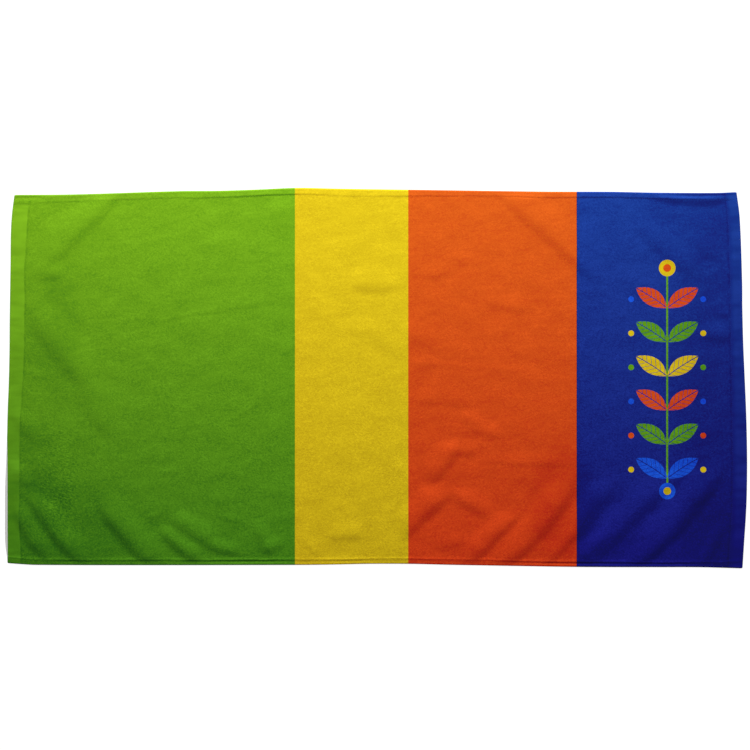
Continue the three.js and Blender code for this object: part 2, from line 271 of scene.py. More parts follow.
# Unprinted lines in a leaf, each by the distances from its middle where it ends and where
# the leaf's colour is full again: the midrib, and the veins that slant off it
MIDRIB, VEIN = (0.5, 1.2), (0.25, 0.8)
VEIN_SLANT, VEIN_PITCH = 0.9, 11.0
# The rows end within this share of a row
ROW_EDGE = 0.01
BERRY_ACROSS, BERRY_UP, BERRY_RADIUS = 74.0, 24.0, 6.0
BUD_LOW, BUD_HIGH, BUD_RADIUS, BUD_EYE_RADIUS = -232.0, 226.0, 17.0, 8.5
ORANGE, GREEN, YELLOW = (0.76, 0.09, 0.0075), (0.13, 0.37, 0.0075), (0.80, 0.58, 0.0075)
LIGHT_BLUE = (0.0105, 0.10, 0.78)
# Colours of the rows of leaves and of their berries, from the lowest row up
LEAF_COLOURS = (LIGHT_BLUE, GREEN, ORANGE, YELLOW, GREEN, ORANGE)
BERRY_COLOURS = (YELLOW, ORANGE, LIGHT_BLUE, GREEN, YELLOW, LIGHT_BLUE)

# Where the pile is crushed into small ripples, in columns x, y, reach_x, reach_y, strength
RIPPLES = (
    (-655, -190, 58, 115, 0.26),
    (-646, -295, 66, 70, 0.14),
    (39, -188, 44, 44, 0.14),
    (612, -120, 60, 50, 0.14),
)
# Patches of painted shade, where the dye is painted darker, in the same columns
PAINTED_SHADE_PATCHES = (
    (762, -40, 190, 560, 0.09),
    (702, -330, 110, 90, 0.05),
    (640, 330, 125, 120, 0.05),
    (790, 0, 80, 220, 0.04),
    (385, -255, 90, 150, 0.09),
    (-680, -300, 260, 130, 0.08),
    (-684, -262, 70, 80, 0.05),
    (-696, -160, 50, 90, 0.05),
    (-795, -330, 80, 150, 0.05),
    (-658, 90, 70, 160, 0.06),
    (-790, 60, 110, 400, 0.04),
    (685, 384, 85, 16, 0.12),
)

# The pile's unevenness. The grain leans by one of two turns, here the one and there the
# other. The other layers are rows of size, detail, roughness, turn, stretch and strength:
# clumps, streaks along the towel, clouds, and where it was brushed.
GRAIN_SIZE, GRAIN_DETAIL, GRAIN_ROUGHNESS, GRAIN_STRETCH = 2.2, 2.0, 0.7, 1.7
GRAIN_TURNS, GRAIN_STRENGTH = (0.7, -0.5), 0.31
SWIRL_SIZE, SWIRL_BORDER = 55.0, (0.42, 0.58)
PILE_LAYERS = (
    (5.5, 2.0, 0.5, -0.12, 3.2, 0.05),
    (5.5, 3.0, 0.6, 0.0, 11.0, 0.03),
    (52.0, 3.0, 0.55, 0.0, 1.0, 0.025),
    (15.0, 3.0, 0.55, -0.22, 4.5, 0.06),
)
RIPPLE_NOISE = (2.9, 1.0, 0.5, 0.3, 1.9)
# The grain's strength at the middle, how it grows by the millimetre towards the near side,
# and how much weaker it is on the orange
GRAIN_AT_MIDDLE, GRAIN_GROWTH, CALM_ORANGE = 1.03, 0.00065, 0.25

# Painted shade and highlight on slopes: how much darker the dye is painted where the cloth
# faces away from the far side's light, and lighter where it faces it, within limits
SLOPE_SHADE_SHARE, SLOPE_HIGHLIGHT_LIMIT, SLOPE_SHADE_LIMIT = 0.45, -0.2, 0.4
# Painted shade in the end seams' grooves: how much darker the dye is painted in the left and
# in the right one. That starts and stops at these depths from the rim, and comes in patches of
# this noise.
SEAM_SHADE_LEFT, SEAM_SHADE_RIGHT = 0.08, 0.12
SEAM_SHADE_STARTS, SEAM_SHADE_STOPS = (24.4, 26.2), (33.0, 27.0)
SEAM_SHADE_NOISE, SEAM_SHADE_BORDER = (12.0, 3.0, 0.7), (0.35, 0.65)
# On the flat-woven hems: paler all over the left one, and on the right one from the first
# of these depths on, in full from the second. A share of the pile's unevenness shows there.
RIGHT_WORN = (27.0, 15.0)
WORN_NOISE, WORN_STRENGTH, WORN_PALER, TUFTS_ON_HEM = (34.0, 3.0, 0.6, 0.0, 3.0), 0.18, 0.1, 0.15
# Where the pile starts next to an end hem, and where the left end's far side hem ends
PILE_BEGINS, SIDE_HEM_ENDS = (25.6, 27.0), (10.4, 9.6)
# What the painted shade and the pile's tone do to the dye: darker makes it richer, and a bright
# one greyer
DEEP_RICHER, PALE_RICHER, PALE_BRIGHTER = 1.4, 0.3, 1.6
GREYER, GREYER_BY_RED, GREYER_BY_GREEN = 0.37, 0.25, 0.55

# The looped back, white with greyer gaps, and the relief of the pile and of the ribbed hems
LOOP_WHITE, LOOP_GAP = (0.92, 0.91, 0.89), (0.76, 0.75, 0.74)
LOOPS_PER_MM, LOOP_SHAPE = 0.52, (1, 1.4, 1)
RIB_NOISE, RIB_SHARE = (1.6, 2.0, 0.5, 0.0, 14.0), 0.15
RELIEF, RELIEF_STRENGTH = 1.6, 0.5

# The sewing: one row of stitches along each seam. Along the side seams it stops this far
# from both end rims, and along the end seams this far from the near rim and the far one.
STITCH_PITCH, STITCH_LENGTH, THREAD_RADIUS = 4.4, 3.3, 0.42
SIDE_ROW_ENDS, NEAR_ROW_END, FAR_ROW_END = 5.0, 14.0, 18.0
# A stitch goes this far down into the cloth. Its ends have this share of the thread's
# radius, and it arches by this share of it. Its length varies between these shares, and
# its ends are off by about this much.
STITCH_SINK, THIN_END, ARCH = 0.35, 0.45, 0.7
SHORTEST, LONGEST, SKEW = 0.88, 1.08, 0.12
STITCH_STEPS, STITCH_SIDES = 5, 6
SEED = 11
# The thread's twist: its noise, how much it changes the colour, around what, and its relief
TWIST_NOISE = (0.5, 1.0, 0.5, 0.8, 4.0)
TWIST_STRENGTH, TWIST_MIDDLE, TWIST_RELIEF = 0.3, 0.95, 0.15

# In the UV map: the margin around its two halves, and how far out from the face's edge the
# two rings of the rim and the edge of the back are rolled
MAP_MARGIN = 0.01
ROLLED_UPPER, ROLLED_LOWER, ROLLED_BACK = 1.3, 2.0, 3.4

# The studio, in metres: a wide soft window on the far side, an even fill, a pale floor and
# a camera straight above
KEY_PLACE, KEY_AIM = (0, 1.55, 1.35), (0, 0.1, 0)
KEY_WIDTH, KEY_HEIGHT, KEY_POWER = 2.8, 0.6, 45.0
FILL_STRENGTH = 0.24
FLOOR_HALF, FLOOR_BELOW, FLOOR_GREY, FLOOR_GLOW = 60.0, 0.2 * MM, 0.3, 0.88
LENS, SENSOR = 85.0, 36.0
VIEW_X, VIEW_Y, VIEW_WIDTH = -0.0021, 0.0063, 1.5418


def smooth(share):
    share = np.clip(share, 0, 1)
    return share * share * (3 - 2 * share)


def lerp(low, high, share):
    return low + (high - low) * share


def between(depth, zone):
    """0 where depth is at the zone's first value, 1 where it is at its second one."""
    return smooth((depth - zone[0]) / (zone[1] - zone[0]))


def curve_at(rows, place):
    """A smooth curve through the points of a table of places and values."""
    at, out = np.array(rows, float).T
    slope = np.empty_like(out)
    slope[1:-1] = (out[2:] - out[:-2]) / (at[2:] - at[:-2])
    slope[0] = (out[1] - out[0]) / (at[1] - at[0])
    slope[-1] = (out[-1] - out[-2]) / (at[-1] - at[-2])
    place = np.clip(place, at[0], at[-1])
    i = np.clip(np.searchsorted(at, place) - 1, 0, len(at) - 2)
    span = at[i + 1] - at[i]
    t = (place - at[i]) / span
    ease = lerp(out[i], out[i + 1], smooth(t))
    return ease + span * t * (1 - t) * ((1 - t) * slope[i] - t * slope[i + 1])


def wave(x, y, length, layer):
    """Smooth noise from -1 to 1 over the cloth, with hills about length apart."""
    flat = np.stack([x, y], -1).reshape(-1, 2) / length
    values = [noise.noise((px, py, layer * LAYER_GAP)) for px, py in flat]
    return np.array(values).reshape(np.shape(x))


def from_rim(x, y):
    """Depth of points from the end rims and from the side rims."""
    return LENGTH / 2 - np.abs(x), WIDTH / 2 - np.abs(y)


def moved_in(depth, groove, seam):
    """Depth of points of the even pattern once the groove lies as deep as its seam."""
    fading = np.clip(1 - (depth - groove) / SEAM_PULL, 0, 1)
    return depth + (seam / groove - 1) * np.minimum(depth, groove) * fading


def flat_place(x, y):
    """Place on the flat cloth of points of the even pattern."""
    end, side = from_rim(x, y)
    wobble_x = SEAM_WOBBLE * wave(x, np.sign(y), SEAM_WOBBLE_LENGTH, 3)
    wobble_y = SEAM_WOBBLE * wave(y, np.sign(x), SEAM_WOBBLE_LENGTH, 4)
    far = moved_in(side, FAR_GROOVE, curve_at(FAR_SEAM, x) + wobble_x)
    near = moved_in(side, NEAR_GROOVE, curve_at(NEAR_SEAM, x) + wobble_x)
    end_seam = np.where(x < 0, curve_at(LEFT_SEAM, y), curve_at(RIGHT_SEAM, y)) + wobble_y
    flat_x = np.sign(x) * (LENGTH / 2 - moved_in(end, END_GROOVE, end_seam))
    flat_y = np.sign(y) * (WIDTH / 2 - np.where(y > 0, far, near))
    return flat_x, flat_y


def laid_place(x, y):
    """Place of points of the flat cloth once the towel is laid down."""
    along, across = x / LENGTH + 0.5, y / WIDTH + 0.5
    laid_x = x + lerp(-curve_at(LEFT_EDGE, y), curve_at(RIGHT_EDGE, y), along)
    laid_y = y + lerp(-curve_at(BOTTOM_EDGE, x), curve_at(TOP_EDGE, x), across)
    return laid_x, laid_y


def fold_lift(fold, x, y):
    """Height of one rumple over points of the cloth."""
    x0, y0, x1, y1, bow, left, right, height = fold
    run_x, run_y = x1 - x0, y1 - y0
    length = np.hypot(run_x, run_y)
    along = ((x - x0) * run_x + (y - y0) * run_y) / length**2
    crest = bow * 4 * along * (1 - along)
    aside = ((y - y0) * run_x - (x - x0) * run_y) / length - crest
    ends = smooth((along + OVERRUN) / FADE) * smooth((1 + OVERRUN - along) / FADE)
    reach = np.where(aside > 0, left, right) * lerp(NARROW_END, 1, ends)
    near = np.clip(1 - (aside / reach) ** 2, 0, 1)
    return height * near**2 * ends


def lift_at(x, y):
    """How far the cloth stands off the surface below it."""
    wandered_x = x + WANDER * wave(x, y, WANDER_LENGTH, 1)
    wandered_y = y + WANDER * wave(x, y, WANDER_LENGTH, 2)
    lift = sum(fold_lift(fold, wandered_x, wandered_y) for fold in FOLDS)
    lift *= 1 + WAVER * wave(x, y, WAVER_LENGTH, 6)
    lift += sum(fold_lift(crease, wandered_x, wandered_y) for crease in CREASES)
    lift += RUFFLE * smooth(0.5 + RUFFLE_CONTRAST * wave(x, y, RUFFLE_LENGTH, 7))
    share = lerp(RIM_SHARE, 1, smooth(np.minimum(*from_rim(x, y)) / RIM_REACH))
    return share * lift


def face_height(x, y):
    """Height of the face above the back: pile, hems, grooves and the rounded rim."""
    end, side = from_rim(x, y)
    far_side = np.interp(side, *np.array(FAR_HEM).T)
    near_side = np.interp(side, *np.array(NEAR_HEM).T)
    dip = curve_at(NEAR_PRESS, x) * np.interp(side, *np.array(NEAR_DIP).T)
    far_rise, near_rise = curve_at(FAR_PRESS, x) * (far_side - PILE), near_side - PILE - dip
    end_height = np.interp(end, *np.array(END_HEM).T)
    end_shows = np.where(x < 0, between(side, LEFT_END_SHOWS), between(side, RIGHT_END_SHOWS))
    end_part = end_shows * (end_height - PILE)
    over_end = np.where(x < 0, SIDE_OVER_LEFT, SIDE_OVER_RIGHT)
    side_part = np.where(y > 0, far_rise, near_rise)
    side_part *= lerp(over_end, 1, between(end, SIDE_HEM_FREE))
    depth = np.minimum(end, side)
    pile = PILE_RISE * wave(x, y, PILE_LENGTH, 8) * between(depth, PILE_STARTS)
    puckers = PUCKER_RISE * wave(x, PUCKER_NARROWER * y, PUCKER_LENGTH, 9)
    puckers *= between(side, PUCKERS_START) * between(side, PUCKERS_STOP)
    along = x / WRINKLE_LONGER
    wrinkles = SHORT_RISE * wave(along, y, SHORT_LENGTH, 10)
    wrinkles += LONG_RISE * wave(along, y, LONG_LENGTH, 12)
    wrinkles *= between(end, WRINKLES_START) * between(end, WRINKLES_STOP)
    height = PILE + end_part + side_part + pile + puckers + wrinkles
    return lerp(RIM_HEIGHT, np.maximum(height, RIM_HEIGHT), smooth(depth / RIM_ROUNDING))


def round_corners(x, y):
    """Pulls points close to the corners in, so that the rim turns them in an arc."""
    end, side = from_rim(x, y)
    past_x, past_y = CORNER_ROUNDING - end, CORNER_ROUNDING - side
    corner = (past_x > 0) & (past_y > 0)
    reach = np.hypot(past_x, past_y)
    scale = np.where(corner, np.maximum(past_x, past_y) / np.maximum(reach, 1e-9), 1)
    moved_x = np.where(corner, np.sign(x) * (np.abs(x) - past_x * (1 - scale)), x)
    moved_y = np.where(corner, np.sign(y) * (np.abs(y) - past_y * (1 - scale)), y)
    return moved_x, moved_y


def outward(x, y):
    """Which way the rim faces at points of the pattern: zero away from it."""
    end, side = from_rim(x, y)
    out_x = np.sign(x) * np.clip(1 - (end - END_LINES[0]) / CORNER_ROUNDING, 0, 1)
    out_y = np.sign(y) * np.clip(1 - (side - SIDE_LINES[0]) / CORNER_ROUNDING, 0, 1)
    return out_x, out_y


def grid_lines(size, rim_lines):
    """Places of the lines across one side of the cloth: an odd number of them."""
    inner = size / 2 - rim_lines[-1]
    cells = 2 * round(inner / CELL)
    rim = size / 2 - np.array(rim_lines)
    return np.concatenate([-rim, np.linspace(-inner, inner, cells + 1)[1:-1], rim[::-1]])


def around(columns, rows):
    """Grid index pairs along the rim of a grid, against the clock from its first corner."""
    low = [(i, 0) for i in range(columns - 1)]
    right = [(columns - 1, j) for j in range(rows - 1)]
    high = [(i, rows - 1) for i in range(columns - 1, 0, -1)]
    left = [(0, j) for j in range(rows - 1, 0, -1)]
    return np.array(low + right + high + left)


def surface(x, y):
    """Place of the face at points of the pattern, as the towel lies."""
    flat_x, flat_y = round_corners(*flat_place(x, y))
    laid_x, laid_y = laid_place(flat_x, flat_y)
    return np.stack([laid_x, laid_y, lift_at(flat_x, flat_y) + face_height(x, y)], -1)


def to_box(points):
    """The move that takes the middle of these points to the middle of the CAD model's box."""
    low, high = (np.array(corner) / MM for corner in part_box("towel"))
    return (low + high - points.min(0) - points.max(0)) / 2 * (1, 1, 0)


def skin_faces(rows, columns, back_rows, back_columns):
    """Corners of all faces of the skin: its face, two rings around the rim, and its back.

    Also the numbers of the lower ring's first face and of the back's first face.
    """
    grid = np.arange(rows * columns).reshape(rows, columns)
    rim = grid[tuple(around(columns, rows).T[::-1])]
    upper = grid.size + np.arange(len(rim))
    lower = upper + len(rim)
    back = lower[-1] + 1 + np.arange(back_rows * back_columns).reshape(back_rows, -1)

    quads = np.stack([grid[:-1, :-1], grid[:-1, 1:], grid[1:, 1:], grid[1:, :-1]], -1)
    faces = quads.reshape(-1, 4).tolist()
    lower_start = len(faces) + len(rim)
    for high, low in ((rim, upper), (upper, lower)):
        faces.extend(np.stack([high, low, np.roll(low, -1), np.roll(high, -1)], -1).tolist())
    # The back has half as many points along its rim as the ring above it
    back_rim = back[tuple(around(back_columns, back_rows).T[::-1])]
    for k, (here, following) in enumerate(zip(back_rim, np.roll(back_rim, -1))):
        a, b, c = (int(lower[(2 * k + step) % len(rim)]) for step in range(3))
        faces.append([a, int(here), int(following), c, b])
    back_start = len(faces)
    quads = np.stack([back[:-1, :-1], back[1:, :-1], back[1:, 1:], back[:-1, 1:]], -1)
    faces.extend(quads.reshape(-1, 4).tolist())
    return faces, lower_start, back_start


def cloth_mesh():
    """The whole cloth as one closed mesh, and the move that took it to its place.

    The mesh keeps in its hem attribute each point's depth from the end rim, its depth from
    the side rim and its share of print.
    """
    xs, ys = grid_lines(LENGTH, END_LINES), grid_lines(WIDTH, SIDE_LINES)
    x, y = np.meshgrid(xs, ys)
    face = surface(x, y)
    flat_x, flat_y = round_corners(*flat_place(x, y))
    lift = np.maximum(lift_at(flat_x, flat_y), 0)
    end, side = from_rim(x, y)
    past_end = smooth((end - TURNED_END) / TURNED_STEP)
    past_side = smooth((side - TURNED_SIDE) / TURNED_STEP)
    back_height = lift + HEM_ON_BACK * np.minimum(past_end, past_side)
    back = np.dstack([face[..., :2], back_height])[::2, ::2]

    rim = tuple(around(len(xs), len(ys)).T[::-1])
    out_x, out_y = outward(x[rim], y[rim])
    past_face = np.maximum(curve_at(BACK_PAST_FACE, y[rim]), 0) * (x[rim] < xs[1])

    def ring(out, height, past_face=0.0):
        ring_x, ring_y = laid_place(flat_x[rim] + out_x * out, flat_y[rim] + out_y * out)
        return np.stack([ring_x - past_face, ring_y, lift[rim] + height], -1)

    rings = [ring(*UPPER_RING), ring(*LOWER_RING, past_face)]
    points = np.concatenate([face.reshape(-1, 3), *rings, back.reshape(-1, 3)])
    shift = to_box(points)
    faces, lower_start, back_start = skin_faces(*x.shape, *back.shape[:2])

    pattern = np.stack([x, y], -1)
    patterns = np.concatenate([
        pattern.reshape(-1, 2), pattern[rim], pattern[rim], pattern[::2, ::2].reshape(-1, 2),
    ])
    rim_print = 1 - np.minimum(past_face, 1)
    counts = [x.size, len(rim_print), len(rim_print), back.size // 3]
    printed = np.concatenate([np.ones(counts[0]), rim_print, rim_print, np.zeros(counts[-1])])
    depths = np.stack(from_rim(*patterns.T), -1)
    rolled = np.repeat([0.0, ROLLED_UPPER, ROLLED_LOWER, ROLLED_BACK], counts)

    mesh = bpy.data.meshes.new("towel_cloth")
    mesh.from_pydata(((points + shift) * MM).tolist(), [], faces)
    hem = mesh.attributes.new("hem", "FLOAT_VECTOR", "POINT")
    hem.data.foreach_set("vector", np.column_stack([depths, printed]).astype(np.float32).ravel())
    shaded_smooth = np.ones(len(faces), bool)
    shaded_smooth[lower_start:lower_start + len(rim_print)] = False
    mesh.polygons.foreach_set("use_smooth", shaded_smooth)
    add_map(mesh, patterns, rolled, back_start)
    mesh.update()
    return mesh, shift


def add_map(mesh, patterns, rolled, back_start):
    """A UV map with the face above the back, and the rim rolled out around the face."""
    out = np.stack(outward(*patterns.T), -1) * rolled[:, None]
    corner_point = np.empty(len(mesh.loops), int)
    mesh.loops.foreach_get("vertex_index", corner_point)
    first_corner = np.empty(len(mesh.polygons), int)
    mesh.polygons.foreach_get("loop_start", first_corner)
    on_back = (np.arange(len(mesh.loops)) >= first_corner[back_start])[:, None]
    place = patterns[corner_point] + np.where(on_back, 0, out[corner_point])
    across = place / (LENGTH, WIDTH) + 0.5
    low = np.array([MAP_MARGIN, 0.5 + MAP_MARGIN])
    share = lerp(low, 1 - MAP_MARGIN, across)
    share[:, 1] -= 0.5 * on_back[:, 0]
    mesh.uv_layers.new(name="OFBake").data.foreach_set("uv", share.ravel())


def stitch_rows():
    """Pattern places of all the stitches, and which way each seam runs."""
    spans = []
    for depth, side in ((FAR_STITCHES, 1), (NEAR_STITCHES, -1)):
        along = np.arange(SIDE_ROW_ENDS - LENGTH / 2, LENGTH / 2 - SIDE_ROW_ENDS, STITCH_PITCH)
        spans.append((along, np.full_like(along, side * (WIDTH / 2 - depth)), (1, 0)))
    for end in (-1, 1):
        along = np.arange(NEAR_ROW_END - WIDTH / 2, WIDTH / 2 - FAR_ROW_END, STITCH_PITCH)
        spans.append((np.full_like(along, end * (LENGTH / 2 - END_STITCHES)), along, (0, 1)))
    x = np.concatenate([span[0] for span in spans])
    y = np.concatenate([span[1] for span in spans])
    run = np.concatenate([np.tile(span[2], (len(span[0]), 1)) for span in spans])
    return x, y, run


def stitch_mesh(shift):
    """Short arched threads, each going down into the cloth at both ends."""
    x, y, run = stitch_rows()
    rng = np.random.default_rng(SEED)
    half = STITCH_LENGTH / 2 * rng.uniform(SHORTEST, LONGEST, len(x))
    heads = surface(x + run[:, 0] * half, y + run[:, 1] * half)
    tails = surface(x - run[:, 0] * half, y - run[:, 1] * half)
    skew = rng.normal(0, SKEW, (len(x), 2))
    heads[:, :2] += skew
    tails[:, :2] -= skew
    along = heads - tails
    sideways = np.cross((0, 0, 1), along)
    sideways /= np.linalg.norm(sideways, axis=1, keepdims=True)
    steps = np.linspace(0, 1, STITCH_STEPS)
    angles = np.arange(STITCH_SIDES) * 2 * np.pi / STITCH_SIDES
    arch = 4 * steps * (1 - steps)
    points = []
    for step, rise in zip(steps, arch):
        radius = THREAD_RADIUS * lerp(THIN_END, 1, rise)
        middle = tails + along * step + (0, 0, ARCH * THREAD_RADIUS * rise - STITCH_SINK)
        ring = radius * (
            np.cos(angles)[None, :, None] * sideways[:, None]
            + np.sin(angles)[None, :, None] * np.array((0, 0, 1.0))
        )
        points.append(middle[:, None] + ring)
    points = np.stack(points, 1)
    template = []
    for step in range(STITCH_STEPS - 1):
        for side in range(STITCH_SIDES):
            following = (side + 1) % STITCH_SIDES
            base, above = step * STITCH_SIDES, (step + 1) * STITCH_SIDES
            template.append([base + side, above + side, above + following, base + following])
    ends = [list(range(STITCH_SIDES)), list(range(above, above + STITCH_SIDES))[::-1]]
    size = STITCH_STEPS * STITCH_SIDES
    faces = [
        [start + corner for corner in face]
        for start in range(0, len(x) * size, size)
        for face in template + ends
    ]
    mesh = bpy.data.meshes.new("hem_stitches")
    mesh.from_pydata(((points.reshape(-1, 3) + shift) * MM).tolist(), [], faces)
    mesh.polygons.foreach_set("use_smooth", [True] * len(mesh.polygons))
    return mesh


class Nodes:
    """Short calls for the nodes of one material."""

    def __init__(self, name):
        self.material = bpy.data.materials.new(name)
        self.material.use_nodes = True
        self.tree = self.material.node_tree
        self.shader = self.tree.nodes["Principled BSDF"]

    def add(self, kind, **settings):
        node = self.tree.nodes.new("ShaderNode" + kind)
        for name, value in settings.items():
            setattr(node, name, value)
        return node

    def put(self, socket, value):
        """Links a socket to another node's, or sets it to a plain value."""
        if isinstance(value, bpy.types.NodeSocket):
            self.tree.links.new(value, socket)
        else:
            socket.default_value = value

    def math(self, operation, *values, clamp=False):
        node = self.add("Math", operation=operation, use_clamp=clamp)
        for socket, value in zip(node.inputs, values):
            self.put(socket, value)
        return node.outputs[0]

    def total(self, *terms):
        """The sum of several values."""
        result = terms[0]
        for term in terms[1:]:
            result = self.math("ADD", result, term)
        return result

    def mix(self, share, low, high, blend="MIX"):
        node = self.add("Mix", data_type="RGBA", blend_type=blend)
        self.put(node.inputs[0], share)
        for socket, value in ((node.inputs[6], low), (node.inputs[7], high)):
            self.put(socket, (*value, 1) if isinstance(value, tuple) else value)
        return node.outputs[2]

    def blend(self, share, low, high):
        """A plain number between two others."""
        node = self.add("Mix", data_type="FLOAT")
        sockets = (node.inputs[0], node.inputs[2], node.inputs[3])
        for socket, value in zip(sockets, (share, low, high)):
            self.put(socket, value)
        return node.outputs[0]

    def ramp(self, value, low, high):
        """0 where value is at low, 1 where it is at high, eased between them."""
        node = self.add("MapRange", interpolation_type="SMOOTHSTEP")
        for socket, entry in zip(node.inputs, (value, low, high, 0.0, 1.0)):
            self.put(socket, entry)
        return node.outputs[0]

    def steps(self, value, colours):
        """One of several colours, in even steps as value goes from 0 to 1."""
        node = self.add("ValToRGB")
        node.color_ramp.interpolation = "CONSTANT"
        elements = node.color_ramp.elements
        while len(elements) < len(colours):
            elements.new(1.0)
        for i, colour in enumerate(colours):
            elements[i].position = i / len(colours)
            elements[i].color = (*colour, 1)
        self.put(node.inputs[0], value)
        return node.outputs[0]

    def place(self, scale=(1, 1, 1), turn=0.0):
        """The object's own coordinates in millimetres, turned about Z and then scaled."""
        source = self.add("TexCoord").outputs["Object"]
        turned = self.add("VectorRotate", rotation_type="Z_AXIS")
        self.put(turned.inputs["Vector"], source)
        turned.inputs["Angle"].default_value = turn
        node = self.add("Mapping")
        self.put(node.inputs["Vector"], turned.outputs[0])
        node.inputs["Scale"].default_value = [part / MM for part in scale]
        return node.outputs[0]

    def noise(self, size, detail=2.0, roughness=0.5, turn=0.0, stretch=1.0):
        """Noise from 0 to 1 with grains of this size in millimetres, longer along the turn."""
        node = self.add("TexNoise")
        self.put(node.inputs["Vector"], self.place((1 / stretch, 1, 1), turn))
        node.inputs["Scale"].default_value = 1 / size
        node.inputs["Detail"].default_value = detail
        node.inputs["Roughness"].default_value = roughness
        return node.outputs["Fac"]

    def uneven(self, fac, strength):
        """Noise from 0 to 1 as a value around 0."""
        return self.math("MULTIPLY_ADD", fac, 2 * strength, -strength)

    def bump(self, height, distance, strength=1.0):
        node = self.add("Bump")
        node.inputs["Strength"].default_value = strength
        node.inputs["Distance"].default_value = distance
        self.put(node.inputs["Height"], height)
        return node.outputs[0]

    def xyz(self, vector):
        node = self.add("SeparateXYZ")
        self.put(node.inputs[0], vector)
        return node.outputs


def sprig_over(n, x, y, ground):
    """The ground colour with a sprig of leaves, berries and buds printed over it."""
    count = len(LEAF_COLOURS)
    from_stem = n.math("ABSOLUTE", n.math("SUBTRACT", x, SPRIG_X))
    up = n.math("DIVIDE", n.math("SUBTRACT", y, SPRIG_LOW), LEAF_PITCH)
    in_rows = n.math("MULTIPLY", n.ramp(up, -ROW_EDGE, 0.0), n.ramp(up, count, count - ROW_EDGE))
    rise = n.math("MULTIPLY_ADD", n.math("FRACT", up), LEAF_PITCH, -LEAF_BASE)
    cosine, sine = float(np.cos(LEAF_RISE)), float(np.sin(LEAF_RISE))
    along = n.math("MULTIPLY_ADD", from_stem, cosine, n.math("MULTIPLY", rise, sine))
    across = n.math("MULTIPLY_ADD", from_stem, -sine, n.math("MULTIPLY", rise, cosine))
    share = n.math("DIVIDE", along, LEAF_LENGTH)
    bend = n.math("MULTIPLY", n.math("MULTIPLY", share, share), LEAF_BEND)
    across = n.math("ABSOLUTE", n.math("ADD", across, bend))
    bulge = n.math("MULTIPLY", share, n.math("SUBTRACT", 1.0, share))
    half_width = n.math("MULTIPLY", bulge, 2 * LEAF_WIDTH)
    leaf = n.ramp(n.math("SUBTRACT", half_width, across), -PRINT_EDGE, PRINT_EDGE)
    slanted = n.math("MULTIPLY_ADD", across, -VEIN_SLANT, along)
    repeat = n.math("FLOORED_MODULO", slanted, VEIN_PITCH)
    from_vein = n.math("ABSOLUTE", n.math("SUBTRACT", repeat, VEIN_PITCH / 2))
    cut = n.math("MINIMUM", n.ramp(across, *MIDRIB), n.ramp(from_vein, *VEIN))
    leaf = n.math("MULTIPLY", n.math("MULTIPLY", leaf, cut), in_rows)

    def within(distance, reach):
        return n.ramp(distance, reach + PRINT_EDGE, reach - PRINT_EDGE)

    def distance_to(middle_x, height, middle_y):
        aside = n.math("SUBTRACT", from_stem, middle_x)
        above = n.math("SUBTRACT", height, middle_y)
        square = n.math("MULTIPLY_ADD", aside, aside, n.math("MULTIPLY", above, above))
        return n.math("SQRT", square)

    row = n.math("DIVIDE", up, count)
    berry = within(distance_to(BERRY_ACROSS, rise, BERRY_UP - LEAF_BASE), BERRY_RADIUS)
    colour = n.mix(n.math("MULTIPLY", berry, in_rows), ground, n.steps(row, BERRY_COLOURS))
    over_low = n.ramp(y, BUD_LOW, BUD_LOW + 2 * PRINT_EDGE)
    under_high = n.ramp(y, BUD_HIGH, BUD_HIGH - 2 * PRINT_EDGE)
    upright = n.math("MULTIPLY", over_low, under_high)
    stem = n.math("MULTIPLY", within(from_stem, STEM_WIDTH / 2), upright)
    colour = n.mix(stem, colour, GREEN)
    colour = n.mix(leaf, colour, n.steps(row, LEAF_COLOURS))
    for middle, inner, outer in ((BUD_HIGH, ORANGE, YELLOW), (BUD_LOW, YELLOW, LIGHT_BLUE)):
        from_bud = distance_to(0.0, y, middle)
        colour = n.mix(within(from_bud, BUD_RADIUS), colour, outer)
        eye = n.ramp(from_bud, BUD_EYE_RADIUS, BUD_EYE_RADIUS - 2 * PRINT_EDGE)
        colour = n.mix(eye, colour, inner)
    return colour


def printed_colour_and_shade(n):
    """The print: four blocks side by side, each a little darker towards the near side as painted
    shade.
    """
    x, y, _ = n.xyz(n.place())
    # Painted shade: each block turns darker towards the near side
    lower = n.math("MULTIPLY_ADD", y, -1 / (PAINTED_SHADE_TOP - PAINTED_SHADE_BOTTOM), 0.5, clamp=True)
    colours = [n.mix(lower, far, near) for far, near in BLOCK_COLOURS_AND_SHADE.values()]
    colours[-1] = sprig_over(n, x, y, colours[-1])
    colour = colours[0]
    for (border, overlap), following in zip(BLOCK_ENDS, colours[1:]):
        both = n.mix(1.0, colour, following, "MULTIPLY")
        past = n.ramp(x, border - PRINT_EDGE, border + PRINT_EDGE)
        colour = n.mix(past, colour, following)
        if overlap:
            from_border = n.math("ABSOLUTE", n.math("SUBTRACT", x, border))
            overlaps = n.ramp(from_border, overlap + OVERLAP_EDGE, overlap - OVERLAP_EDGE)
            colour = n.mix(overlaps, colour, both)
    return colour


def patches(n, rows):
    """Soft round patches of a table, each as strong as its row says at its middle."""
    x, y, _ = n.xyz(n.place())
    shares = []
    for middle_x, middle_y, reach_x, reach_y, strength in rows:
        aside = n.math("DIVIDE", n.math("SUBTRACT", x, middle_x), reach_x)
        above = n.math("DIVIDE", n.math("SUBTRACT", y, middle_y), reach_y)
        square = n.math("MULTIPLY_ADD", aside, aside, n.math("MULTIPLY", above, above))
        shares.append(n.math("MULTIPLY", n.ramp(square, 1.0, 0.2), strength))
    return n.total(*shares)


